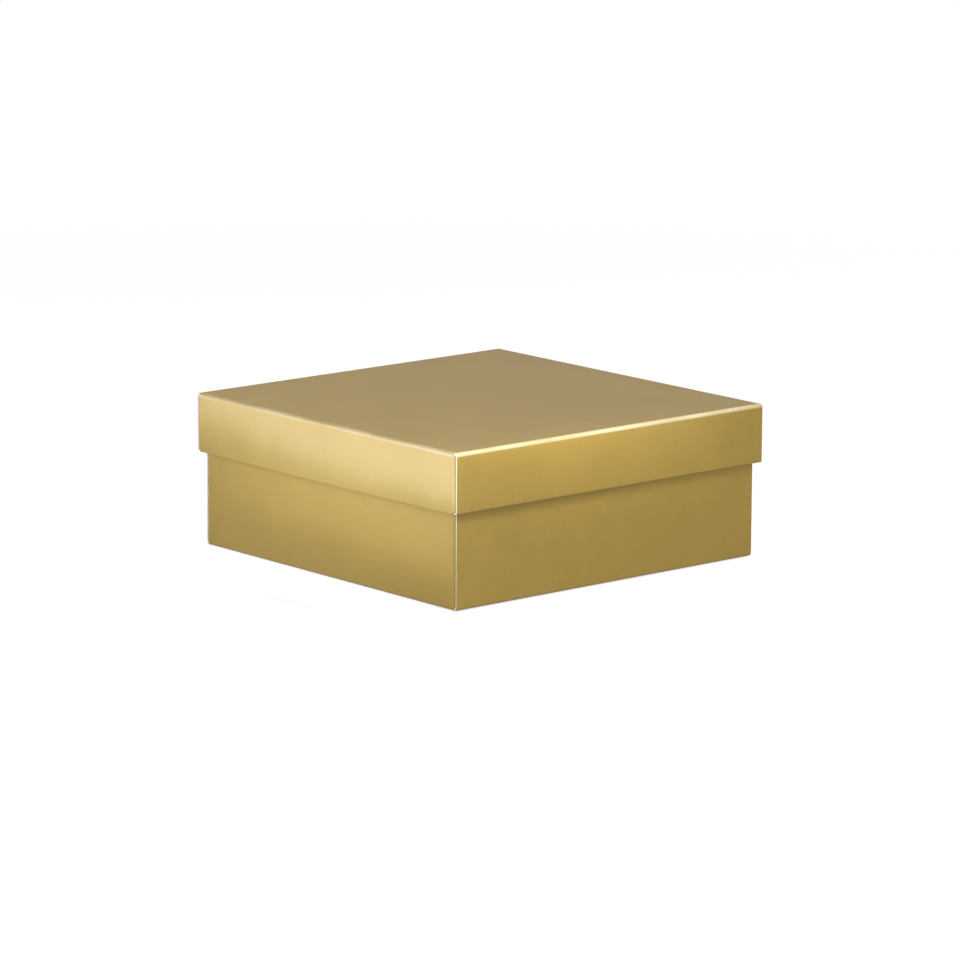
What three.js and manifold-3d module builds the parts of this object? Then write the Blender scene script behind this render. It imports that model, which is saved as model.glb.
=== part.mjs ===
// Square two-piece gift box of folded metallic board. The tray and the lid are the same carton,
// each folded from one creased sheet: a square panel, two single walls whose corner flaps turn in
// behind the other two walls, and those two walls rolled over the flaps, with a rim on top and a
// second panel down the inside. The lid is the same carton turned over and a little larger, with
// more room inside its single walls than inside its rolled ones. Each sheet is modelled as its
// panels, parted at the creases they turn about.
// Millimetres, Z up, origin on the table under the middle of the box, front wall towards -Y.
import * as THREE from "three";
import { mergeVertices } from "three/addons/utils/BufferGeometryUtils.js";
import Module from "manifold-3d";

const wasm = await Module();
wasm.setup();

// Driving sizes
const trayWidth = 150; // outside of the tray, square
const overallHeight = 60; // table to the top of the closed box
const skirtHeight = 23; // top of the lid down to its rim
const lidRolledClearance = 0.75; // inside of the lid's rolled walls to the outside of the tray
const lidSingleClearance = 1.7; // inside of the lid's single walls to the outside of the tray
const seatGap = 0.3; // rim of the tray to the underside of the lid
const board = 0.6; // thickness of the sheet
const layerGap = 0.1; // air between the layers of a rolled wall
const creaseInside = 0.9; // inside radius of a crease between two panels
const beadOffset = 0.15; // how near the crease's middle its bead of crushed ply is drawn
const rimInside = 0.2; // inside radius of the two creases in a rolled rim
const rimSlot = 20; // degrees of the rim's inner crease where its crushed plies part
const endSetback = 0.5; // cut end of a rolled wall, back from the face of the single wall
const cornerRelief = 0.4; // notch between the foot of a corner flap and the panel's crease
const footGap = 0.3; // cut edge of an inner panel to the sheet it stands on
const panelPlay = 0.3; // each end of an inner panel to the turn of the single wall
const panelTaper = 1.2; // how much narrower each end of an inner panel is at its foot
const trayFlap = 45; // length of a corner flap in the tray
const lidFlap = 30; // length of a corner flap in the lid
const flapTopSlope = 6; // degrees that a flap's upper edge falls away to its free end
const flapFootSlope = 3; // degrees that its lower edge rises
const flapCorner = 4; // rounding of its two free corners
const joinOverlap = 1; // how far a turn runs into the wall it is joined to
const arcSteps = 8; // facets in a quarter turn

// What follows from them
const creaseOutside = creaseInside + board;
const rolledThickness = 3 * board + 2 * layerGap;
const rimOutside = Math.min(rimInside + board, rolledThickness / 2);
const trayHeight = overallHeight - board - seatGap;
const lidWidth = trayWidth + 2 * (lidSingleClearance + board); // over its single walls
const lidDepth = trayWidth + 2 * (lidRolledClearance + rolledThickness); // over its rolled walls
const radians = THREE.MathUtils.degToRad;

const gold = { color: 0xc4a35a, roughness: 0.3, metalness: 0.9 };

// A flat outline pushed along one axis, from one distance to another. The outline is drawn in the
// two axes that follow it round: y and z for x, z and x for y, x and y for z.
const alongAxis = {
  x: new THREE.Matrix4().set(0, 0, 1, 0, 1, 0, 0, 0, 0, 1, 0, 0, 0, 0, 0, 1),
  y: new THREE.Matrix4().set(0, 1, 0, 0, 0, 0, 1, 0, 1, 0, 0, 0, 0, 0, 0, 1),
  z: new THREE.Matrix4(),
};
function pushed(outline, axis, from, to) {
  const geometry = new THREE.ExtrudeGeometry(outline, {
    depth: to - from,
    steps: 1,
    bevelEnabled: false,
    curveSegments: arcSteps,
  });
  return geometry.translate(0, 0, from).applyMatrix4(alongAxis[axis]);
}

// To a solid that can be cut and joined, and back to a geometry.
function solidOf(geometry) {
  const bare = geometry.clone();
  bare.deleteAttribute("normal");
  bare.deleteAttribute("uv");
  const merged = mergeVertices(bare);
  return new wasm.Manifold(
    new wasm.Mesh({
      numProp: 3,
      vertProperties: merged.attributes.position.array,
      triVerts: merged.index.array,
    }),
  );
}
function geometryOf(solid) {
  const mesh = solid.getMesh();
  const geometry = new THREE.BufferGeometry();
  geometry.setAttribute("position", new THREE.BufferAttribute(mesh.vertProperties, 3));
  geometry.setIndex(new THREE.BufferAttribute(mesh.triVerts, 1));
  const faceted = geometry.toNonIndexed();
  faceted.computeVertexNormals();
  return faceted;
}

function panel(name, geometry) {
  const mesh = new THREE.Mesh(geometry, new THREE.MeshStandardMaterial(gold));
  mesh.name = name;
  return mesh;
}

// The inside of a crease, drawn on to the point (toA, toB): the crushed plies stand in it as a
// bead, so the line runs across the turn instead of round it, close by the turn's middle.
function bead(outline, middleA, middleB, towardsA, towardsB, toA, toB) {
  outline.quadraticCurveTo(
    middleA + towardsA * beadOffset,
    middleB + towardsB * beadOffset,
    toA,
    toB,
  );
}

// The middle panel of the sheet: floor of the tray, or top of the lid. Here and below, out is how
// far a wall's face is from the middle of the box, and side is how far its neighbours' faces are.
function middlePanel(name, singleOut, rolledOut) {
  const reachX = singleOut - creaseOutside;
  const reachY = rolledOut - creaseOutside;
  const outline = new THREE.Shape()
    .moveTo(-reachX, -reachY)
    .lineTo(reachX, -reachY)
    .lineTo(reachX, reachY)
    .lineTo(-reachX, reachY);
  return panel(name, pushed(outline, "z", 0, board));
}

// How far along each single wall is flat before it turns into its corner flaps.
const flatHalf = (side) => side - board - layerGap - creaseOutside;
const flapTop = (height) => height - board - layerGap;
const flapFoot = creaseOutside + cornerRelief;

// A single wall on the +X side: up from the floor's crease to its cut edge, and round at each end.
function singleWall(name, out, side, height) {
  const middle = out - creaseOutside;
  const inner = out - board;
  const flat = flatHalf(side);

  const section = new THREE.Shape() // z across, x up
    .moveTo(0, middle)
    .absarc(creaseOutside, middle, creaseOutside, Math.PI, Math.PI / 2, true)
    .lineTo(height, out)
    .lineTo(height, inner)
    .lineTo(creaseOutside, inner);
  bead(section, creaseOutside, middle, -1, 1, board, middle);
  let wall = solidOf(pushed(section, "y", -flat, flat));

  for (const end of [1, -1]) {
    const turn = new THREE.Shape() // x across, y up
      .moveTo(out, end * (flat - joinOverlap))
      .lineTo(out, end * flat)
      .absarc(middle, end * flat, creaseOutside, 0, (end * Math.PI) / 2, end < 0)
      .lineTo(middle, end * (flat + creaseInside));
    bead(turn, middle, end * flat, 1, end, inner, end * flat);
    turn.lineTo(inner, end * (flat - joinOverlap));
    wall = wall.add(solidOf(pushed(turn, "z", flapFoot, flapTop(height))));
  }
  return panel(name, geometryOf(wall));
}

// A corner flap, carried by a single wall on the +X side at its +Y or -Y end.
function cornerFlap(name, out, side, height, length, end) {
  const crease = out - creaseOutside;
  const face = end * (flatHalf(side) + creaseOutside);
  const back = end * (flatHalf(side) + creaseInside);
  const tip = crease - length;
  const top = flapTop(height);
  const tipTop = top - length * Math.tan(radians(flapTopSlope));
  const tipFoot = flapFoot + length * Math.tan(radians(flapFootSlope));
  const round = Math.min(flapCorner, (tipTop - tipFoot) / 2, length / 2);

  const outline = new THREE.Shape() // z across, x up
    .moveTo(flapFoot, crease)
    .lineTo(tipFoot, tip + round)
    .quadraticCurveTo(tipFoot, tip, tipFoot + round, tip)
    .lineTo(tipTop - round, tip)
    .quadraticCurveTo(tipTop, tip, tipTop, tip + round)
    .lineTo(top, crease);
  return panel(name, pushed(outline, "y", Math.min(face, back), Math.max(face, back)));
}

// The rim's inner crease is a live hinge. Only its outer ply is whole, so the inner panel turns
// about the middle of the crease's outer face, and the plies under it part along a slot there.
const rimShare = radians((90 - rimSlot) / 2);
const hingeMiddle = (out) => out - rolledThickness + rimOutside;

// A rolled wall on the +X side: up from the floor's crease, over the rim, and as far as the slot
// in the rim's inner crease.
function rolledWall(name, out, side, height) {
  const middle = out - creaseOutside;
  const inner = out - board;
  const rimMiddle = out - rimOutside;
  const hinge = hingeMiddle(out);
  const rimHeight = height - rimOutside;
  const rimCore = rimOutside - board;

  const section = new THREE.Shape() // z across, x up
    .moveTo(0, middle)
    .absarc(creaseOutside, middle, creaseOutside, Math.PI, Math.PI / 2, true)
    .absarc(rimHeight, rimMiddle, rimOutside, Math.PI / 2, 0, true)
    .absarc(rimHeight, hinge, rimOutside, 0, -rimShare, true)
    .absarc(rimHeight, hinge, rimCore, -rimShare, 0, false)
    .absarc(rimHeight, rimMiddle, rimCore, 0, Math.PI / 2, false)
    .lineTo(creaseOutside, inner);
  bead(section, creaseOutside, middle, -1, 1, board, middle);
  const reach = side - endSetback;
  return panel(name, pushed(section, "y", -reach, reach));
}

// The panel inside a rolled wall on the +X side: from the slot in the rim's inner crease down to
// the floor, with its ends drawn in towards the foot.
function innerPanel(name, out, side, height) {
  const hinge = hingeMiddle(out);
  const face = hinge - rimOutside;
  const back = face + board;
  const foot = board + footGap;
  const rimHeight = height - rimOutside;

  const section = new THREE.Shape() // z across, x up
    .moveTo(foot, face)
    .lineTo(foot, back)
    .lineTo(rimHeight, back)
    .absarc(rimHeight, hinge, rimOutside - board, -Math.PI / 2, rimShare - Math.PI / 2, false)
    .absarc(rimHeight, hinge, rimOutside, rimShare - Math.PI / 2, -Math.PI / 2, true);
  const wide = side - creaseOutside - panelPlay;
  const narrow = wide - panelTaper;
  const cut = new THREE.Shape() // y across, z up
    .moveTo(-narrow, 0)
    .lineTo(narrow, 0)
    .lineTo(wide, rimHeight)
    .lineTo(wide, height)
    .lineTo(-wide, height)
    .lineTo(-wide, rimHeight);
  const whole = solidOf(pushed(section, "y", -side, side));
  return panel(name, geometryOf(whole.intersect(solidOf(pushed(cut, "x", 0, out)))));
}

// A whole carton, open side up. The walls are made on the +X side and turned to their places.
function carton(prefix, middleName, width, depth, height, flapLength, turnedOver) {
  const singleOut = width / 2;
  const rolledOut = depth / 2;
  const whole = new THREE.Group();
  whole.add(middlePanel(`${prefix}_${middleName}`, singleOut, rolledOut));

  // A carton that is turned over about Y has its left and right the other way round.
  for (const [side, turn] of [["right", 0], ["left", Math.PI]]) {
    const placed = turnedOver ? { right: "left", left: "right" }[side] : side;
    const group = new THREE.Group();
    group.rotation.z = turn;
    group.add(singleWall(`${prefix}_${placed}_wall`, singleOut, rolledOut, height));
    for (const end of [1, -1]) {
      const corner = end === (side === "right" ? 1 : -1) ? "back" : "front";
      const name = `${prefix}_corner_flap_${corner}_${placed}`;
      group.add(cornerFlap(name, singleOut, rolledOut, height, flapLength, end));
    }
    whole.add(group);
  }

  for (const [side, turn] of [["back", Math.PI / 2], ["front", -Math.PI / 2]]) {
    const group = new THREE.Group();
    group.rotation.z = turn;
    group.add(rolledWall(`${prefix}_${side}_wall`, rolledOut, singleOut, height));
    group.add(innerPanel(`${prefix}_${side}_inner_panel`, rolledOut, singleOut, height));
    whole.add(group);
  }
  return whole;
}

const giftBox = new THREE.Group();
giftBox.add(carton("base", "floor", trayWidth, trayWidth, trayHeight, trayFlap, false));

const lid = carton("lid", "top", lidWidth, lidDepth, skirtHeight, lidFlap, true);
lid.rotation.y = Math.PI;
lid.position.z = overallHeight;
giftBox.add(lid);

export default giftBox;
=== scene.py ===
import math

import bpy
import numpy as np
from mathutils import Matrix, Vector


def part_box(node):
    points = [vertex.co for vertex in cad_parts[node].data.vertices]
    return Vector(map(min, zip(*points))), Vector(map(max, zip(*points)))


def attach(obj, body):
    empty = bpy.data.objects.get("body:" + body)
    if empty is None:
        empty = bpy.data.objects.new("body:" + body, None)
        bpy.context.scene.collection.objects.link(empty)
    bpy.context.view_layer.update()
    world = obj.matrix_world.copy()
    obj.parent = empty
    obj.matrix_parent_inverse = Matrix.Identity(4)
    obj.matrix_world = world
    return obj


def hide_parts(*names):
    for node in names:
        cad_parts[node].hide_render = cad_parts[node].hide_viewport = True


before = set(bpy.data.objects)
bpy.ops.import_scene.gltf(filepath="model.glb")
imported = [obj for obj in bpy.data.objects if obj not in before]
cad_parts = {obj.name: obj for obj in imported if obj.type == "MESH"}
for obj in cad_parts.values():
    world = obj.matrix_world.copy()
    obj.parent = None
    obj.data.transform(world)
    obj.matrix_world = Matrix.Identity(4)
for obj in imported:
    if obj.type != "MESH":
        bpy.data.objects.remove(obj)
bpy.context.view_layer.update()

mm = 0.001
quarter = math.pi / 2
hair = 1e-7  # metres, two places nearer than this are the same
far = 5.0  # where a crease that a panel does not have is put
scene = bpy.context.scene
scene.view_settings.view_transform = "Standard"


def wire(tree, socket, value):
    if isinstance(value, bpy.types.NodeSocket):
        tree.links.new(value, socket)
    else:
        socket.default_value = value


def calc(tree, operation, *values):
    node = tree.nodes.new("ShaderNodeMath")
    node.operation = operation
    for socket, value in zip(node.inputs, values):
        wire(tree, socket, value)
    return node.outputs[0]


def weighed(tree, *terms):  # the sum of values, each with its weight
    total = None
    for value, weight in terms:
        part = calc(tree, "MULTIPLY", value, weight)
        total = part if total is None else calc(tree, "ADD", total, part)
    return total


def between(tree, value, low, high):  # 0 at low, 1 at high, held outside
    node = tree.nodes.new("ShaderNodeMapRange")
    wire(tree, node.inputs["Value"], value)
    wire(tree, node.inputs["From Min"], low)
    wire(tree, node.inputs["From Max"], high)
    return node.outputs["Result"]


def surface(name):
    material = bpy.data.materials.new(name)
    material.use_nodes = True
    tree = material.node_tree
    return material, tree, tree.nodes["Principled BSDF"]


def noiseOn(tree, coordinate, scale, detail=2.0, roughness=0.5, stretch=(1, 1, 1)):
    mapping = tree.nodes.new("ShaderNodeMapping")
    mapping.inputs["Scale"].default_value = stretch
    tree.links.new(coordinate, mapping.inputs["Vector"])
    node = tree.nodes.new("ShaderNodeTexNoise")
    node.inputs["Scale"].default_value = scale
    node.inputs["Detail"].default_value = detail
    node.inputs["Roughness"].default_value = roughness
    tree.links.new(mapping.outputs[0], node.inputs["Vector"])
    return node.outputs["Fac"]


def blended(tree, factor, first, second):
    node = tree.nodes.new("ShaderNodeMix")
    node.data_type = "RGBA"
    wire(tree, node.inputs["Factor"], factor)
    for name, colour in (("A", first), ("B", second)):
        wire(tree, [s for s in node.inputs if s.name == name and s.type == "RGBA"][0], colour)
    return [s for s in node.outputs if s.type == "RGBA"][0]


def kept(tree, name, output):
    node = tree.nodes.new("ShaderNodeAttribute")
    node.attribute_name = name
    return node.outputs[output]


def bump(tree, shader, height):
    node = tree.nodes.new("ShaderNodeBump")
    node.inputs["Strength"].default_value = 1.0
    node.inputs["Distance"].default_value = 1.0
    tree.links.new(height, node.inputs["Height"])
    tree.links.new(node.outputs[0], shader.inputs["Normal"])


# Millimetres, for both sheets.
sheet = {
    "board": 0.6,
    "crease": 1.2,  # radius of a crease at the middle of the board
    "rimCrease": 0.5,
    "rimFlat": 0.4,  # flat width between the two creases of a rolled rim
    "bead": 0.42,  # swelling of the crushed plies inside a crease
    "chamfer": 0.10,
    "folded": 1.0,  # 0 is the flat sheet, 1 the box
    "edgeRub": 0.15,  # how far the print is rubbed off at an ordinary cut edge, 0 to 1
}

goldLook = {
    "dark": (0.350, 0.236, 0.050, 1),
    "light": (0.382, 0.258, 0.057, 1),
    "metal": 0.54,  # metal flakes in the ink, the rest is matt
    "edgeTint": (0.075, 0.075, 0.09, 1),  # the metal seen at a glancing angle
    "roughness": 0.385,
    "roughnessPlay": 0.05,
    "wornRoughness": 0.35,  # added where the print has gone
    "spread": 0.91,  # the reflections are drawn out across the grain of the board
    "lacquer": 0.18,
    "lacquerRoughness": 0.18,
    "cracked": (0.88, 0.77, 0.48, 1),  # board showing through the print at a crease, and along the lid's creases a painted highlight
    "creaseWear": 0.9,
    "edgeWear": 0.9,
    "grainDepth": 0.006,  # mm
    "rippleDepth": 0.05,  # mm
    "crackDepth": 0.04,  # mm
    # noise: scale, detail, roughness, and how it is drawn out
    "mottle": (60, 4, 0.6),
    "grain": (1.0, 3, 0.6, (1400, 160, 1400)),
    "specks": (2600, 2, 0.6),
    "cracks": (3200, 3, 0.65),
    "patches": (28, 2, 0.6),
    "ripples": (75, 1, 0.5),
}


def goldPrint():
    material, tree, shader = surface("goldPrint")
    place = tree.nodes.new("ShaderNodeTexCoord").outputs["Object"]
    onSheet = kept(tree, "onSheet", "Vector")
    mottle = noiseOn(tree, place, *goldLook["mottle"])
    # the grain runs across the sheet, as the paper machine left it
    grain = noiseOn(tree, onSheet, *goldLook["grain"])
    specks = noiseOn(tree, place, *goldLook["specks"])
    tone = between(tree, weighed(tree, (mottle, 0.6), (grain, 0.4)), 0.35, 0.65)
    colour = blended(tree, tone, goldLook["dark"], goldLook["light"])

    # the print cracks along the creases and rubs off at the cut edges; along the lid's creases the
    # pale cracked colour is also a painted highlight
    cracks = noiseOn(tree, place, *goldLook["cracks"])
    patches = noiseOn(tree, place, *goldLook["patches"])
    fold = kept(tree, "fold", "Fac")
    rubbed = weighed(tree, (cracks, 0.6), (patches, 0.9))
    # painted highlight: the crease band is pushed toward the pale board colour, partly real
    # cracked print
    crackedAndHighlit = calc(tree, "MULTIPLY", fold, between(tree, rubbed, 0.40, 0.85))
    crackedAndHighlit = calc(tree, "MULTIPLY", crackedAndHighlit, goldLook["creaseWear"])
    onEdge = calc(tree, "MULTIPLY", kept(tree, "rubbed", "Fac"), between(tree, cracks, 0.3, 0.6))
    onEdge = calc(tree, "MULTIPLY", onEdge, goldLook["edgeWear"])
    wear = calc(tree, "MINIMUM", calc(tree, "ADD", crackedAndHighlit, onEdge), 1.0)
    # base colour: real wear at the cut edges and creases, with the painted crease highlight
    wire(tree, shader.inputs["Base Color"], blended(tree, wear, colour, goldLook["cracked"]))
    metal = calc(tree, "MULTIPLY", calc(tree, "SUBTRACT", 1.0, wear), goldLook["metal"])
    wire(tree, shader.inputs["Metallic"], metal)
    play = calc(tree, "MULTIPLY", calc(tree, "ADD", mottle, specks), goldLook["roughnessPlay"])
    rough = calc(tree, "ADD", goldLook["roughness"] - goldLook["roughnessPlay"], play)
    rough = calc(tree, "ADD", rough, calc(tree, "MULTIPLY", wear, goldLook["wornRoughness"]))
    wire(tree, shader.inputs["Roughness"], rough)
    shader.inputs["Specular Tint"].default_value = goldLook["edgeTint"]
    shader.inputs["Anisotropic"].default_value = goldLook["spread"]
    across = tree.nodes.new("ShaderNodeTangent")
    across.direction_type = "UV_MAP"
    across.uv_map = "flatSheet"
    tree.links.new(across.outputs[0], shader.inputs["Tangent"])
    shader.inputs["Coat Weight"].default_value = goldLook["lacquer"]
    shader.inputs["Coat Roughness"].default_value = goldLook["lacquerRoughness"]

    ripples = noiseOn(tree, place, *goldLook["ripples"])
    bump(tree, shader, weighed(tree, (grain, goldLook["grainDepth"] * mm),
                               (ripples, goldLook["rippleDepth"] * mm),
                               (crackedAndHighlit, -goldLook["crackDepth"] * mm)))
    return material


reverseLook = {
    "dark": (0.66, 0.62, 0.53, 1),
    "light": (0.76, 0.73, 0.65, 1),
    "speck": (0.42, 0.36, 0.27, 1),
    "roughness": 0.78,
    "roughnessPlay": 0.12,
    "depth": 0.02,  # mm
    # noise: scale, detail, roughness, and how it is drawn out
    "clouds": (140, 5, 0.65),
    "fibres": (1.0, 3, 0.6, (2200, 420, 2200)),
    "specks": (1500, 1, 0.5),
}


def paleReverse():
    material, tree, shader = surface("paleReverse")
    place = tree.nodes.new("ShaderNodeTexCoord").outputs["Object"]
    onSheet = kept(tree, "onSheet", "Vector")
    clouds = noiseOn(tree, place, *reverseLook["clouds"])
    fibres = noiseOn(tree, onSheet, *reverseLook["fibres"])
    tone = between(tree, weighed(tree, (clouds, 0.5), (fibres, 0.5)), 0.35, 0.65)
    colour = blended(tree, tone, reverseLook["dark"], reverseLook["light"])
    specks = between(tree, noiseOn(tree, place, *reverseLook["specks"]), 0.74, 0.78)
    specks = calc(tree, "MULTIPLY", specks, 0.6)
    wire(tree, shader.inputs["Base Color"], blended(tree, specks, colour, reverseLook["speck"]))
    play = calc(tree, "MULTIPLY", fibres, reverseLook["roughnessPlay"])
    wire(tree, shader.inputs["Roughness"], calc(tree, "ADD", reverseLook["roughness"], play))
    relief = calc(tree, "ADD", fibres, clouds)
    bump(tree, shader, calc(tree, "MULTIPLY", relief, reverseLook["depth"] * mm))
    return material


edgeLook = {
    "ply": (0.76, 0.63, 0.30, 1),
    "between": (0.63, 0.51, 0.22, 1),
    "plies": 5,
    "waver": 4.0,  # how far the plies wander, radians
    "fray": (1800, 3, 0.6),  # noise: scale, detail, roughness
    "depth": 0.03,  # mm
    "roughness": 0.9,
}


def cutPlies():
    material, tree, shader = surface("cutPlies")
    place = tree.nodes.new("ShaderNodeTexCoord").outputs["Object"]
    depth = tree.nodes.new("ShaderNodeSeparateXYZ")
    tree.links.new(kept(tree, "onSheet", "Vector"), depth.inputs[0])
    fray = noiseOn(tree, place, *edgeLook["fray"])
    perMetre = 2 * math.pi * edgeLook["plies"] / (sheet["board"] * mm)
    layer = calc(tree, "MULTIPLY", depth.outputs["Z"], perMetre)
    layer = calc(tree, "ADD", layer, calc(tree, "MULTIPLY", fray, edgeLook["waver"]))
    tone = calc(tree, "ADD", calc(tree, "MULTIPLY", calc(tree, "SINE", layer), 0.3), fray)
    colour = blended(tree, between(tree, tone, 0.2, 0.75), edgeLook["between"], edgeLook["ply"])
    wire(tree, shader.inputs["Base Color"], colour)
    shader.inputs["Roughness"].default_value = edgeLook["roughness"]
    bump(tree, shader, calc(tree, "MULTIPLY", tone, edgeLook["depth"] * mm))
    return material


gold = goldPrint()
reverse = paleReverse()
cutEdge = cutPlies()
print("materials made")


def creaseGroup():  # turns what lies past Start through Angle, round a crease of the given length
    group = bpy.data.node_groups.new("creaseTurn", "GeometryNodeTree")
    face = group.interface
    for name in ("Along", "Up", "Flat", "Start", "Length", "Angle", "Bead"):
        face.new_socket(name, in_out="INPUT", socket_type="NodeSocketFloat")
    for name in ("Along", "Up", "Turned"):
        face.new_socket(name, in_out="OUTPUT", socket_type="NodeSocketFloat")
    given = group.nodes.new("NodeGroupInput").outputs
    result = group.nodes.new("NodeGroupOutput").inputs
    past = calc(group, "SUBTRACT", given["Flat"], given["Start"])
    turned = between(group, past, 0.0, given["Length"])
    angle = calc(group, "MULTIPLY", turned, given["Angle"])
    radius = calc(group, "DIVIDE", given["Length"], calc(group, "MAXIMUM", given["Angle"], 0.0001))
    sine = calc(group, "SINE", angle)
    cosine = calc(group, "COSINE", angle)

    # the bead of crushed plies, on the inside only
    swell = calc(group, "SINE", calc(group, "MULTIPLY", turned, math.pi))
    swell = calc(group, "SQRT", calc(group, "MAXIMUM", swell, 0.0))
    inside = calc(group, "GREATER_THAN", given["Up"], 0.0)
    swell = calc(group, "MULTIPLY", calc(group, "MULTIPLY", swell, inside), given["Bead"])
    up = calc(group, "ADD", given["Up"], swell)

    ahead = calc(group, "SUBTRACT", calc(group, "SUBTRACT", given["Along"], given["Start"]),
                 calc(group, "MULTIPLY", turned, given["Length"]))
    along = calc(group, "ADD", given["Start"], calc(group, "MULTIPLY", radius, sine))
    along = calc(group, "ADD", along, calc(group, "MULTIPLY", ahead, cosine))
    along = calc(group, "SUBTRACT", along, calc(group, "MULTIPLY", up, sine))
    high = calc(group, "MULTIPLY", radius, calc(group, "SUBTRACT", 1.0, cosine))
    high = calc(group, "ADD", high, calc(group, "MULTIPLY", ahead, sine))
    high = calc(group, "ADD", high, calc(group, "MULTIPLY", up, cosine))
    group.links.new(along, result["Along"])
    group.links.new(high, result["Up"])
    group.links.new(turned, result["Turned"])
    return group


def foldTree():
    tree = bpy.data.node_groups.new("foldBoard", "GeometryNodeTree")
    face = tree.interface
    face.new_socket("Geometry", in_out="INPUT", socket_type="NodeSocketGeometry")
    sizes = ("Board", "Crease radius", "Rim radius", "Rim flat", "Bead", "Chamfer", "Foot at",
             "Rim at", "Turn at", "Folded", "Foot wear and highlight", "Turn wear and highlight", "Rim wear and highlight")
    for name in sizes:
        face.new_socket(name, in_out="INPUT", socket_type="NodeSocketFloat")
    for name in ("Print", "Reverse", "Cut edge"):
        face.new_socket(name, in_out="INPUT", socket_type="NodeSocketMaterial")
    face.new_socket("Geometry", in_out="OUTPUT", socket_type="NodeSocketGeometry")
    nodes, links = tree.nodes, tree.links
    given = nodes.new("NodeGroupInput").outputs

    # the die-cut panel gets its thickness, and its underside is the printed one
    turnedDown = nodes.new("GeometryNodeFlipFaces")
    links.new(given["Geometry"], turnedDown.inputs["Mesh"])
    thick = nodes.new("GeometryNodeExtrudeMesh")
    thick.mode = "FACES"
    thick.inputs["Individual"].default_value = False
    upward = nodes.new("ShaderNodeCombineXYZ")
    links.new(given["Board"], upward.inputs["Z"])
    links.new(given["Geometry"], thick.inputs["Mesh"])
    links.new(upward.outputs[0], thick.inputs["Offset"])
    thick.inputs["Offset Scale"].default_value = 1.0
    both = nodes.new("GeometryNodeJoinGeometry")
    links.new(thick.outputs["Mesh"], both.inputs[0])
    links.new(turnedDown.outputs[0], both.inputs[0])
    closed = nodes.new("GeometryNodeMergeByDistance")
    closed.inputs["Distance"].default_value = 1e-6
    links.new(both.outputs[0], closed.inputs["Geometry"])
    body = closed.outputs[0]

    # printed below, bare board above, plies at the cut edges
    normal = nodes.new("ShaderNodeSeparateXYZ")
    links.new(nodes.new("GeometryNodeInputNormal").outputs[0], normal.inputs[0])
    chosen = {
        "Cut edge": None,
        "Print": calc(tree, "LESS_THAN", normal.outputs["Z"], -0.5),
        "Reverse": calc(tree, "GREATER_THAN", normal.outputs["Z"], 0.5),
    }
    for name, selection in chosen.items():
        paint = nodes.new("GeometryNodeSetMaterial")
        links.new(body, paint.inputs["Geometry"])
        links.new(given[name], paint.inputs["Material"])
        if selection:
            links.new(selection, paint.inputs["Selection"])
        body = paint.outputs[0]

    # where each point lies on the flat sheet, and how deep in it
    flat = nodes.new("ShaderNodeSeparateXYZ")
    links.new(nodes.new("GeometryNodeInputPosition").outputs[0], flat.inputs[0])
    across, lengthwise = flat.outputs["X"], flat.outputs["Y"]
    thin = nodes.new("GeometryNodeInputNamedAttribute")
    thin.data_type = "FLOAT"
    thin.inputs["Name"].default_value = "thin"
    cut = nodes.new("GeometryNodeInputNamedAttribute")
    cut.data_type = "FLOAT"
    cut.inputs["Name"].default_value = "cut"
    middle = calc(tree, "MULTIPLY", given["Board"], 0.5)
    deep = calc(tree, "MULTIPLY", flat.outputs["Z"], thin.outputs[0])
    deep = calc(tree, "SUBTRACT", deep, middle)
    eased = calc(tree, "MULTIPLY", cut.outputs[0], calc(tree, "DIVIDE", given["Chamfer"], middle))
    deep = calc(tree, "MULTIPLY", deep, calc(tree, "SUBTRACT", 1.0, eased))

    # the folds, from the last one back to the foot of the wall
    crease = creaseGroup()
    angle = calc(tree, "MULTIPLY", given["Folded"], quarter)
    longTurn = calc(tree, "MULTIPLY", given["Crease radius"], quarter)
    rimTurn = calc(tree, "MULTIPLY", given["Rim radius"], quarter)
    secondRim = calc(tree, "ADD", calc(tree, "ADD", given["Rim at"], rimTurn), given["Rim flat"])

    def fold(along, up, flatAt, start, length, bead):
        node = nodes.new("GeometryNodeGroup")
        node.node_tree = crease
        for name, value in (("Along", along), ("Up", up), ("Flat", flatAt), ("Start", start),
                            ("Length", length), ("Angle", angle), ("Bead", bead)):
            wire(tree, node.inputs[name], value)
        return node.outputs["Along"], node.outputs["Up"], node.outputs["Turned"]

    side = calc(tree, "SIGN", lengthwise)
    reach = calc(tree, "ABSOLUTE", lengthwise)
    reachTo, up, turned = fold(reach, deep, reach, given["Turn at"], longTurn, given["Bead"])
    acrossTo, up, rimTwo = fold(across, up, across, secondRim, rimTurn, 0.0)
    acrossTo, up, rimOne = fold(acrossTo, up, across, given["Rim at"], rimTurn, 0.0)
    acrossTo, up, foot = fold(acrossTo, up, across, given["Foot at"], longTurn, given["Bead"])
    placed = nodes.new("ShaderNodeCombineXYZ")
    links.new(acrossTo, placed.inputs["X"])
    links.new(calc(tree, "MULTIPLY", reachTo, side), placed.inputs["Y"])
    links.new(calc(tree, "ADD", up, middle), placed.inputs["Z"])
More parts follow.
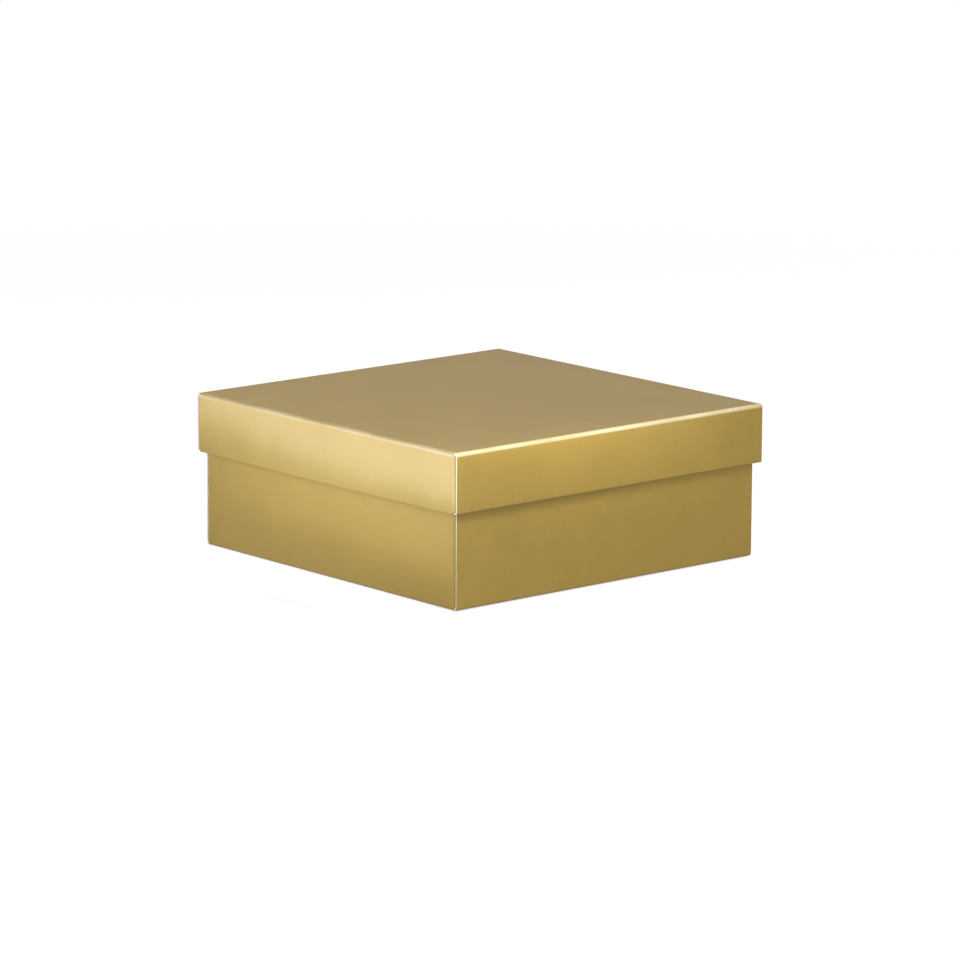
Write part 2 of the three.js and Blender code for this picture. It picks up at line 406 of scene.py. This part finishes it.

    # kept for the materials: how worn the crease is here and how far it is lightened as a painted
    # highlight, and the place on the flat sheet
    wornAndHighlit = 0.0
    for share, amount in ((turned, given["Turn wear and highlight"]), (rimTwo, given["Rim wear and highlight"]),
                          (rimOne, given["Rim wear and highlight"]), (foot, given["Foot wear and highlight"])):
        bow = calc(tree, "SINE", calc(tree, "MULTIPLY", share, math.pi))
        bow = calc(tree, "POWER", bow, 0.6)
        wornAndHighlit = calc(tree, "MAXIMUM", wornAndHighlit, calc(tree, "MULTIPLY", bow, amount))
    flatPlace = nodes.new("ShaderNodeCombineXYZ")
    for axis, value in (("X", across), ("Y", lengthwise), ("Z", deep)):
        links.new(value, flatPlace.inputs[axis])
    noted = (("fold", "FLOAT", wornAndHighlit), ("onSheet", "FLOAT_VECTOR", flatPlace.outputs[0]))
    for name, kind, value in noted:
        keep = nodes.new("GeometryNodeStoreNamedAttribute")
        keep.data_type = kind
        keep.domain = "POINT"
        keep.inputs["Name"].default_value = name
        links.new(body, keep.inputs["Geometry"])
        wire(tree, [s for s in keep.inputs if s.name == "Value" and s.enabled][0], value)
        body = keep.outputs[0]

    move = nodes.new("GeometryNodeSetPosition")
    links.new(body, move.inputs["Geometry"])
    links.new(placed.outputs[0], move.inputs["Position"])
    real = nodes.new("GeometryNodeRealizeInstances")
    whole = nodes.new("GeometryNodeMergeByDistance")
    whole.inputs["Distance"].default_value = 1e-6
    links.new(move.outputs[0], whole.inputs["Geometry"])
    links.new(whole.outputs[0], real.inputs[0])
    links.new(real.outputs[0], nodes.new("NodeGroupOutput").inputs[0])
    return tree


foldBoard = foldTree()
print("folding tree made")


def ruled(stops, spacing):  # the stops, with lines between them no further apart than spacing
    stops = sorted(set(round(s, 6) for s in stops))
    lines = [stops[0]]
    for low, high in zip(stops, stops[1:]):
        steps = max(1, math.ceil((high - low) / spacing))
        lines += [low + (high - low) * k / steps for k in range(1, steps + 1)]
    return lines


# A flat panel on a grid of lines. shape moves its points, keep leaves squares out, seam tells
# where a neighbour goes on, thinAt how thick the board is and rubbedAt how worn its edge.
def dieCut(name, acrossLines, lengthLines, shape=None, keep=None, seam=None,
           thinAt=None, rubbedAt=None):
    rows, columns = len(acrossLines), len(lengthLines)
    points = [(a, b) for a in acrossLines for b in lengthLines]
    faces = []
    for i in range(rows - 1):
        for j in range(columns - 1):
            middle = ((acrossLines[i] + acrossLines[i + 1]) / 2,
                      (lengthLines[j] + lengthLines[j + 1]) / 2)
            if keep is None or keep(*middle):
                k = i * columns + j
                faces.append((k, k + columns, k + columns + 1, k + 1))
    used = sorted({k for face in faces for k in face})
    index = {k: n for n, k in enumerate(used)}
    grid = [points[k] for k in used]
    placed = [shape(*p) if shape else p for p in grid]
    mesh = bpy.data.meshes.new(name + "_board")
    corners = [[index[k] for k in face] for face in faces]
    mesh.from_pydata([(x, y, 0) for x, y in placed], [], corners)
    mesh.update()

    count = {}
    for face in mesh.polygons:
        for pair in face.edge_keys:
            count[pair] = count.get(pair, 0) + 1
    cut = np.zeros(len(grid), np.float32)
    for (a, b), n in count.items():
        if n == 1 and not (seam and seam(*[(p + q) / 2 for p, q in zip(grid[a], grid[b])])):
            cut[[a, b]] = 1
    thin = np.array([thinAt(*p) if thinAt else 1.0 for p in grid], np.float32)
    rubbed = np.array([rubbedAt(*p) if rubbedAt else sheet["edgeRub"] for p in grid], np.float32)
    for attribute, values in (("cut", cut), ("thin", thin), ("rubbed", rubbed * cut)):
        mesh.attributes.new(attribute, "FLOAT", "POINT").data.foreach_set("value", values)
    return mesh


def folded(mesh, footAt, rimAt, turnAt, wear):
    piece = bpy.data.objects.new(mesh.name, mesh)
    scene.collection.objects.link(piece)
    fold = piece.modifiers.new("fold", "NODES")
    fold.node_group = foldBoard
    values = {
        "Board": sheet["board"] * mm,
        "Crease radius": sheet["crease"] * mm,
        "Rim radius": sheet["rimCrease"] * mm,
        "Rim flat": sheet["rimFlat"] * mm,
        "Bead": sheet["bead"] * mm,
        "Chamfer": sheet["chamfer"] * mm,
        "Foot at": footAt,
        "Rim at": rimAt,
        "Turn at": turnAt,
        "Folded": sheet["folded"],
        # wear and painted crease highlight at the foot, the turned ends and the rim
        "Foot wear and highlight": wear[0],
        "Turn wear and highlight": wear[1],
        "Rim wear and highlight": wear[2],
        "Print": gold,
        "Reverse": reverse,
        "Cut edge": cutEdge,
    }
    for socket in foldBoard.interface.items_tree:
        if socket.in_out == "INPUT" and socket.name in values:
            fold[socket.identifier] = values[socket.name]
    bpy.context.view_layer.update()
    graph = bpy.context.evaluated_depsgraph_get()
    made = bpy.data.meshes.new_from_object(piece.evaluated_get(graph), depsgraph=graph)
    made.name = mesh.name
    piece.modifiers.remove(fold)
    piece.data = made
    bpy.data.meshes.remove(mesh)
    return piece


shot = {
    "from": (-1.25599, -1.46759, 0.42706),
    "to": (0.000381, -0.000545, 0.027769),
    "lens": 191.46,
    "roll": 0.259,  # degrees
}


def aimed(at, aim, roll):  # looking from one place at another, turned by roll degrees
    way = (Vector(aim) - Vector(at)).to_track_quat("-Z", "Y").to_matrix()
    return (way @ Matrix.Rotation(math.radians(roll), 3, "Z")).to_euler()


camera = bpy.data.objects.new("camera", bpy.data.cameras.new("camera"))
scene.collection.objects.link(camera)
scene.camera = camera
camera.data.lens = shot["lens"]
camera.data.sensor_width = 36
camera.data.clip_start, camera.data.clip_end = 0.1, 40
camera.location = shot["from"]
camera.rotation_euler = aimed(shot["from"], shot["to"], shot["roll"])

# Four soft lamps, and three narrow cards of light close to the walls that mirror them. Size is
# width and height, level the radiance, fade the part of the width and of the height over which
# the light dies away: at the left, the right, the bottom and the top.
lamps = [
    {"name": "front", "at": (0.50, -0.62, 0.88), "aim": (0, 0, 0.04),
     "size": (0.5, 0.7), "level": 0.6},
    {"name": "key", "at": (0.52, -0.70, 1.02), "aim": (0, 0, 0.03),
     "size": (0.30, 0.3), "level": 29.0},
    {"name": "left", "at": (-0.787, 0.709, 0.60), "aim": (0, 0, 0.04),
     "size": (0.9, 0.7), "level": 2.2},
    {"name": "right", "at": (0.785, -0.167, 0.90), "aim": (0, 0, 0.04),
     "size": (0.7, 0.7), "level": 0.3},
    {"name": "leftCard", "at": (-0.121, 0.038, 0.0545), "aim": (-0.023, 0.0545, 0.0545),
     "size": (0.30, 0.048), "level": 2.6, "colour": (0.85, 1.0, 1.9), "roll": -0.4,
     "fade": (0.03, 0.05, 0.15, 0.2)},
    {"name": "lowCard", "at": (-0.109, 0.0, 0.016), "aim": (-0.077, 0.0, 0.016),
     "size": (0.19, 0.034), "level": 0.9, "roll": -4, "fade": (0.25, 0.1, 0.35, 0.2)},
    {"name": "frontCard", "at": (0.0, -0.104, 0.065), "aim": (0.0, -0.0775, 0.059),
     "size": (0.19, 0.034), "level": 2.0, "roll": -8, "fade": (0.05, 0.55, 0.3, 0.1)},
]


def softLamp(name, at, aim, size, level, colour=(1, 1, 1), roll=0, fade=None):
    light = bpy.data.lights.new(name, "AREA")
    light.shape = "RECTANGLE"
    light.size, light.size_y = size
    light.energy = level * math.pi * size[0] * size[1]
    light.color = colour
    lamp = bpy.data.objects.new(name, light)
    scene.collection.objects.link(lamp)
    lamp.location = at
    lamp.rotation_euler = aimed(at, aim, roll)
    lamp.visible_camera = False
    if fade:
        light.use_nodes = True
        tree = light.node_tree
        over = tree.nodes.new("ShaderNodeSeparateXYZ")
        place = tree.nodes.new("ShaderNodeNewGeometry").outputs["Parametric"]
        tree.links.new(place, over.inputs[0])
        u, v = over.outputs[0], over.outputs[1]
        edges = (u, calc(tree, "SUBTRACT", 1.0, u), v, calc(tree, "SUBTRACT", 1.0, v))
        strength = 1.0
        for toEdge, part in zip(edges, fade):
            strength = calc(tree, "MULTIPLY", strength, between(tree, toEdge, 0.0, part))
        tree.links.new(strength, tree.nodes["Emission"].inputs["Strength"])


studio = {
    "world": 0.30,
    "floorColour": (0.45, 0.45, 0.45, 1),
    "floorLift": 0.70,  # added to the floor where it is seen
    "floorHalf": 9,
    "floorDrop": 0.0003,  # just under the box, so that the two do not share a face
    "whiteFrom": 0.25,  # metres from the box where the floor starts to fade to plain white
    "whiteAt": 0.9,
    "whiteLight": 0.6,  # how much the plain white floor lights other things
}


def whereSeen(tree):  # 1 for the camera and for what mirrors or lets through the background
    path = tree.nodes.new("ShaderNodeLightPath").outputs
    through = calc(tree, "MAXIMUM", path["Is Glossy Ray"], path["Is Transmission Ray"])
    return calc(tree, "MAXIMUM", path["Is Camera Ray"], through)


def seenWhite(tree, socket, level):  # full strength where it is seen, level for the rest
    strength = calc(tree, "MULTIPLY", whereSeen(tree), 1 - level)
    tree.links.new(calc(tree, "ADD", strength, level), socket)


world = bpy.data.worlds.new("studio")
scene.world = world
world.use_nodes = True
sky = world.node_tree.nodes["Background"].inputs
sky["Color"].default_value = (1, 1, 1, 1)
seenWhite(world.node_tree, sky["Strength"], studio["world"])


def paleFloor():
    material, tree, shader = surface("paleFloor")
    tree.nodes.remove(shader)
    matt = tree.nodes.new("ShaderNodeBsdfDiffuse")
    matt.inputs["Color"].default_value = studio["floorColour"]
    lift = tree.nodes.new("ShaderNodeEmission")
    seen = calc(tree, "MULTIPLY", whereSeen(tree), studio["floorLift"])
    tree.links.new(seen, lift.inputs["Strength"])
    near = tree.nodes.new("ShaderNodeAddShader")
    tree.links.new(matt.outputs[0], near.inputs[0])
    tree.links.new(lift.outputs[0], near.inputs[1])
    white = tree.nodes.new("ShaderNodeEmission")
    seenWhite(tree, white.inputs["Strength"], studio["whiteLight"])
    away = tree.nodes.new("ShaderNodeVectorMath")
    away.operation = "LENGTH"
    tree.links.new(tree.nodes.new("ShaderNodeTexCoord").outputs["Object"], away.inputs[0])
    distance = between(tree, away.outputs["Value"], studio["whiteFrom"], studio["whiteAt"])
    fade = tree.nodes.new("ShaderNodeMixShader")
    tree.links.new(distance, fade.inputs["Fac"])
    tree.links.new(near.outputs[0], fade.inputs[1])
    tree.links.new(white.outputs[0], fade.inputs[2])
    tree.links.new(fade.outputs[0], tree.nodes["Material Output"].inputs["Surface"])
    return material


half, drop = studio["floorHalf"], studio["floorDrop"]
floorMesh = bpy.data.meshes.new("floor")
floorMesh.from_pydata([(-half, -half, -drop), (half, -half, -drop), (half, half, -drop),
                       (-half, half, -drop)], [], [(0, 1, 2, 3)])
floorMesh.materials.append(paleFloor())
floor = bpy.data.objects.new("floor", floorMesh)
scene.collection.objects.link(floor)

for lamp in lamps:
    softLamp(**lamp)
print("camera and light made")


# Millimetres and degrees, for both cartons.
carton = {
    "step": 2.4,  # spacing of the grid on the flat panels
    "cutRows": (0.13, 0.4, 1.1),  # the rows beside a cut edge that round it off
    "turnSteps": 16,  # facets in a crease
    "rimSteps": 8,
    "endSetback": 0.5,  # cut end of a rolled wall, back from the face of the single wall
    "cornerRelief": 0.4,
    "cornerReach": 0.4,  # share of the foot's crease that its corner leaves open
    "layerGap": 0.1,
    "footGap": 0.3,
    "panelPlay": 0.3,
    "panelTaper": 1.2,
    "flapTopSlope": 6,
    "flapFootSlope": 3,
    "flapCorner": 4,
    "flapCornerSteps": 6,
    "slotHalf": 10,  # degrees of crease on each side of the hinge where the board thins out
    "lip": 0.1,  # share of the thickness that is left at the hinge
}

# How worn the creases are, and how far they are lightened as a painted highlight: at the foot, at
# the turned ends, at the rim.
creaseWearAndHighlightLevels = {
    "base": {"single": (0.08, 0.05, 0.0), "rolled": (0.08, 0.0, 0.05)},
    "lid": {"single": (0.35, 0.05, 0.0), "rolled": (1.0, 0.0, 0.05)},
}

# Board is never quite flat: each wall bows between its ends, most at its free edge, and all of
# it ripples a little. Millimetres, outwards.
relaxed = {
    "base": {"left": 0.35, "right": 0.30, "front": 0.15, "back": 0.15, "middle": 0.15,
             "ripple": 0.035, "seed": 3},
    "lid": {"left": 1.0, "right": 0.7, "front": 0.2, "back": 0.2, "middle": 0.12,
            "ripple": 0.035, "seed": 8},
}
rippling = {
    "waves": 14,
    "shortest": 28,  # mm
    "longest": 85,
    "plain": 60,  # a wave of this length has its plain height, a longer one more
    "calm": 2.6,
}


def crossed(stops, spacing, cuts=()):
    # lines at the stops, and beside each cut edge the narrow rows that round it off
    more = list(stops)
    low, high = min(stops), max(stops)
    for place, inward in cuts:
        more += [place + inward * d * mm for d in carton["cutRows"]]
    return ruled([s for s in more if low <= s <= high], spacing)


def turnSheet(mesh, about):  # one direction of grain over the whole flat sheet
    onSheet = mesh.attributes["onSheet"].data
    flat = np.zeros(len(onSheet) * 3, np.float32)
    onSheet.foreach_get("vector", flat)
    flat = flat.reshape(-1, 3)
    x, y = flat[:, 0].copy(), flat[:, 1].copy()
    flat[:, 0] = x * math.cos(about) - y * math.sin(about)
    flat[:, 1] = x * math.sin(about) + y * math.cos(about)
    onSheet.foreach_set("vector", flat.ravel())


def mapSheet(mesh):  # the flat sheet is the UV map, with U across the grain
    flat = np.zeros(len(mesh.vertices) * 3, np.float32)
    mesh.attributes["onSheet"].data.foreach_get("vector", flat)
    corner = np.zeros(len(mesh.loops), np.int32)
    mesh.loops.foreach_get("vertex_index", corner)
    place = flat.reshape(-1, 3)[corner][:, [1, 0]] * 3 + 0.5
    mesh.uv_layers.new(name="flatSheet").data.foreach_set("uv", place.astype(np.float32).ravel())


def rippleOf(seed, a, b):
    chance = np.random.default_rng(seed)
    total = np.zeros_like(a)
    for _ in range(rippling["waves"]):
        wave = chance.uniform(rippling["shortest"], rippling["longest"]) * mm
        way = chance.uniform(0, math.pi)
        phase = chance.uniform(0, 2 * math.pi)
        travel = 2 * math.pi * (a * math.cos(way) + b * math.sin(way)) / wave
        total += (wave / (rippling["plain"] * mm)) * np.sin(travel + phase)
    return total / rippling["calm"]


def relax(mesh, amount, singleOut, rolledOut, height, turnedOver):
    points = np.zeros(len(mesh.vertices) * 3, np.float32)
    mesh.vertices.foreach_get("co", points)
    points = points.reshape(-1, 3)
    x, y, z = (points[:, k].astype(float) for k in range(3))
    crease = 1.5 * mm  # outer radius of a crease
    layers = 2.6 * mm  # a little more than the layers of a rolled wall
    skin = 0.7 * mm  # a little more than the board
    ripple = amount["ripple"] * mm
    depth = (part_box("lid_top")[1].z - z) if turnedOver else z
    down = np.clip((depth - crease) / (height - crease), 0, 1)
    for axis, other, out, half, names, seed in (
        (0, y, singleOut, rolledOut - layers, ("right", "left"), 1),
        (1, x, rolledOut, singleOut - layers, ("back", "front"), 2),
    ):
        here = (x, y)[axis]
        along = np.clip(np.abs(other) / half, 0, 1)
        across = (1 - along ** 2) ** 2 * 0.4 + (1 - along ** 2) * 0.6
        still = np.clip(down * 5, 0, 1) * (1 - along ** 6)  # nothing ripples at a held edge
        for name, sign in zip(names, (1, -1)):
            near = (sign * here > out - layers) & (down > 0)
            waves = rippleOf(amount["seed"] + 10 * seed + sign, other, z)
            shift = amount[name] * mm * across * down + ripple * waves * still
            points[near, axis] += (sign * shift)[near]

    # the middle panel sags
    inX = np.abs(x) < singleOut - crease - 10 * hair
    inY = np.abs(y) < rolledOut - crease - 10 * hair
    flatWay = (depth < skin) & inX & inY
    inwards = (1 - (x / (singleOut - crease)) ** 2) * (1 - (y / (rolledOut - crease)) ** 2)
    sag = amount["middle"] * mm + ripple * rippleOf(amount["seed"], x, y)
    sag = sag * np.clip(inwards * 4, 0, 1)
    points[flatWay, 2] += (sag * (-1 if turnedOver else 1))[flatWay]
    mesh.vertices.foreach_set("co", points.ravel())
    mesh.update()


def foldedCarton(prefix, middleName, singleOut, rolledOut, height, flapLength, turnedOver):
    board = sheet["board"] * mm
    outside = (sheet["crease"] + sheet["board"] / 2) * mm  # outer radius of a crease
    turn = sheet["crease"] * quarter * mm  # length of board in a crease
    rimTurn = sheet["rimCrease"] * quarter * mm
    rimOutside = (sheet["rimCrease"] + sheet["board"] / 2) * mm
    gap = carton["layerGap"] * mm
    step = carton["step"] * mm
    fine = turn / carton["turnSteps"]
    rimFine = rimTurn / carton["rimSteps"]
    singleFoot = singleOut - outside
    rolledFoot = rolledOut - outside
    flatHalf = rolledFoot - board - gap
    reach = singleOut - carton["endSetback"] * mm
    flapTop = height - board - gap
    flapFoot = outside + carton["cornerRelief"] * mm

    def onWall(foot, z):  # from a height on the wall to its place on the flat sheet
        return foot + turn + z - outside

    # middle panel
    def seamed(x, y):
        onSide = abs(abs(x) - singleFoot) < 10 * hair and abs(y) < flatHalf
        onEnd = abs(abs(y) - rolledFoot) < 10 * hair and abs(x) < singleFoot
        return onSide or onEnd
    xs = crossed([-singleFoot, singleFoot], step, [(-singleFoot, 1), (singleFoot, -1)])
    ys = crossed([-rolledFoot, -flatHalf, flatHalf, rolledFoot], step,
                 [(-rolledFoot, 1), (rolledFoot, -1)])
    panels = [(dieCut(f"{prefix}_{middleName}", xs, ys, seam=seamed), far, far, far, 0)]

    # single walls with their turned ends
    foot, top = singleFoot, onWall(singleFoot, height)
    notch, crown = onWall(foot, flapFoot), onWall(foot, flapTop)
    low = foot + carton["cornerReach"] * turn
    xs = ruled([foot, low, foot + turn], fine)[:-1] + crossed(
        [foot + turn, notch, crown, top], step, [(crown, -1), (top, -1)])
    end = flatHalf + turn
    flatLines = crossed([-flatHalf, flatHalf], step, [(-flatHalf, 1), (flatHalf, -1)])
    ends = ruled([flatHalf, end], fine)[1:]
    ys = [-y for y in reversed(ends)] + flatLines + ends

    def wallKept(x, y):
        return abs(y) < flatHalf or low < x < crown

    def wallSeam(x, y):
        return abs(x - foot) < hair or abs(abs(y) - end) < hair

    # the flaps that the ends carry
    fall = math.tan(math.radians(carton["flapTopSlope"]))
    rise = math.tan(math.radians(carton["flapFootSlope"]))
    corner = carton["flapCorner"] * mm
    tip = end + flapLength
    steps = carton["flapCornerSteps"]
    rounded = [tip - corner * (1 - math.sin(quarter * k / steps)) for k in range(steps + 1)]
    flapLines = crossed([end, *rounded], step, [(tip, -1)])
    flapHeights = crossed([notch, crown], step, [(notch, 1), (crown, -1)])

    def flapShape(x, y):
        out = abs(y) - end
        low = notch + rise * min(out, flapLength)
        high = crown - fall * min(out, flapLength)
        if out > flapLength - corner:  # the two rounded free corners
            k = (out - (flapLength - corner)) / corner
            bend = corner * (1 - math.sqrt(max(0.0, 1 - k * k)))
            low, high = low + bend, high - bend
        share = (x - notch) / (crown - notch)
        return low + (high - low) * share, y

    def flapSeam(x, y):
        return abs(abs(y) - end) < hair

    for side, about in (("right", 0.0), ("left", math.pi)):
        named = {"right": "left", "left": "right"}[side] if turnedOver else side
        wall = dieCut(f"{prefix}_{named}_wall", xs, ys, keep=wallKept, seam=wallSeam)
        panels.append((wall, foot, far, flatHalf, about))
        for direction in (1, -1):
            corners = "back" if (direction == 1) == (side == "right") else "front"
            lengths = flapLines if direction > 0 else [-y for y in reversed(flapLines)]
            flap = dieCut(f"{prefix}_corner_flap_{corners}_{named}", flapHeights, lengths,
                          shape=flapShape, seam=flapSeam)
            panels.append((flap, foot, far, flatHalf, about))

    # rolled walls and the panels inside them
    rolled = rolledFoot
    rim = onWall(rolled, height - rimOutside)
    second = rim + rimTurn + sheet["rimFlat"] * mm
    hinge = second + rimTurn / 2
    slot = math.radians(carton["slotHalf"]) * sheet["rimCrease"] * mm
    over = second + rimTurn
    last = over + height - rimOutside - board - carton["footGap"] * mm
    wide = singleOut - outside - carton["panelPlay"] * mm
    narrower = carton["panelTaper"] * mm / (height - rimOutside)

    def thinned(x, y):
        away = abs(x - hinge)
        return min(1.0, carton["lip"] + (1 - carton["lip"]) * away / slot)

    def tapered(x, y):
        return x, y * (1 - narrower * max(0.0, x - over) / wide)

    def rubbedEnd(x, y):
        return abs(y) > reach - hair

    def rolledSeam(x, y):
        return abs(x - rolled) < hair or abs(x - hinge) < hair

    def hingeSeam(x, y):
        return abs(x - hinge) < hair

    outer = (ruled([rolled, rolled + turn], fine)[:-1]
             + ruled([rolled + turn, rim], step)[:-1]
             + ruled([rim, rim + rimTurn], rimFine)[:-1]
             + ruled([rim + rimTurn, second], rimFine)[:-1]
             + ruled([second, hinge - slot, hinge - slot / 2, hinge], rimFine))
    outerYs = crossed([-reach, reach], step, [(-reach, 1), (reach, -1)])
    inner = (ruled([hinge, hinge + slot / 2, hinge + slot, over], rimFine)[:-1]
             + crossed([over, last], step, [(last, -1)]))
    innerYs = crossed([-wide, wide], step, [(-wide, 1), (wide, -1)])
    for side, about in (("back", quarter), ("front", -quarter)):
        wall = dieCut(f"{prefix}_{side}_wall", outer, outerYs, thinAt=thinned,
                      rubbedAt=rubbedEnd, seam=rolledSeam)
        panels.append((wall, rolled, rim, far, about))
        panel = dieCut(f"{prefix}_{side}_inner_panel", inner, innerYs, shape=tapered,
                       thinAt=thinned, seam=hingeSeam)
        panels.append((panel, rolled, rim, far, about))

    made = []
    lidTop = Matrix.Translation((0, 0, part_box("lid_top")[1].z))
    for mesh, footAt, rimAt, turnAt, about in panels:
        kind = "single" if turnAt < far else "rolled"
        piece = folded(mesh, footAt, rimAt, turnAt, creaseWearAndHighlightLevels[prefix][kind])
        place = Matrix.Rotation(about, 4, "Z")
        if turnedOver:
            place = lidTop @ Matrix.Rotation(math.pi, 4, "Y") @ place
        piece.data.transform(place)
        turnSheet(piece.data, about)
        mapSheet(piece.data)
        relax(piece.data, relaxed[prefix], singleOut, rolledOut, height, turnedOver)
        piece.data.shade_smooth()
        piece.data.set_sharp_from_angle(angle=math.radians(50))
        made.append(piece)
    return made


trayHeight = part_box("base_back_wall")[1].z
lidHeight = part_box("lid_top")[1].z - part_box("lid_back_wall")[0].z
outline = {
    "tray": (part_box("base_right_wall")[1].x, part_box("base_back_wall")[1].y, trayHeight),
    "lid": (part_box("lid_right_wall")[1].x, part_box("lid_back_wall")[1].y, lidHeight),
}
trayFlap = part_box("base_corner_flap_back_right")
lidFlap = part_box("lid_corner_flap_back_right")
pieces = foldedCarton("base", "floor", *outline["tray"], trayFlap[1].x - trayFlap[0].x, False)
pieces += foldedCarton("lid", "top", *outline["lid"], lidFlap[1].x - lidFlap[0].x, True)
print("cartons folded:", len(pieces), "pieces")

for piece in pieces:
    node = piece.name.removesuffix("_board")
    low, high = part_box(node)
    lowest = [min(v.co[k] for v in piece.data.vertices) for k in range(3)]
    highest = [max(v.co[k] for v in piece.data.vertices) for k in range(3)]
    off = max(abs(a - b) for a, b in zip([*lowest, *highest], [*low, *high]))
    print(f"{node}: {len(piece.data.polygons)} faces, off the CAD box by {off / mm:.3f} mm")
    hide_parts(node)
    body = "lid" if node.startswith("lid") else "base"
    if node in ("base_front_inner_panel", "base_back_inner_panel"):
        body = node.replace("_panel", "")
    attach(piece, body)
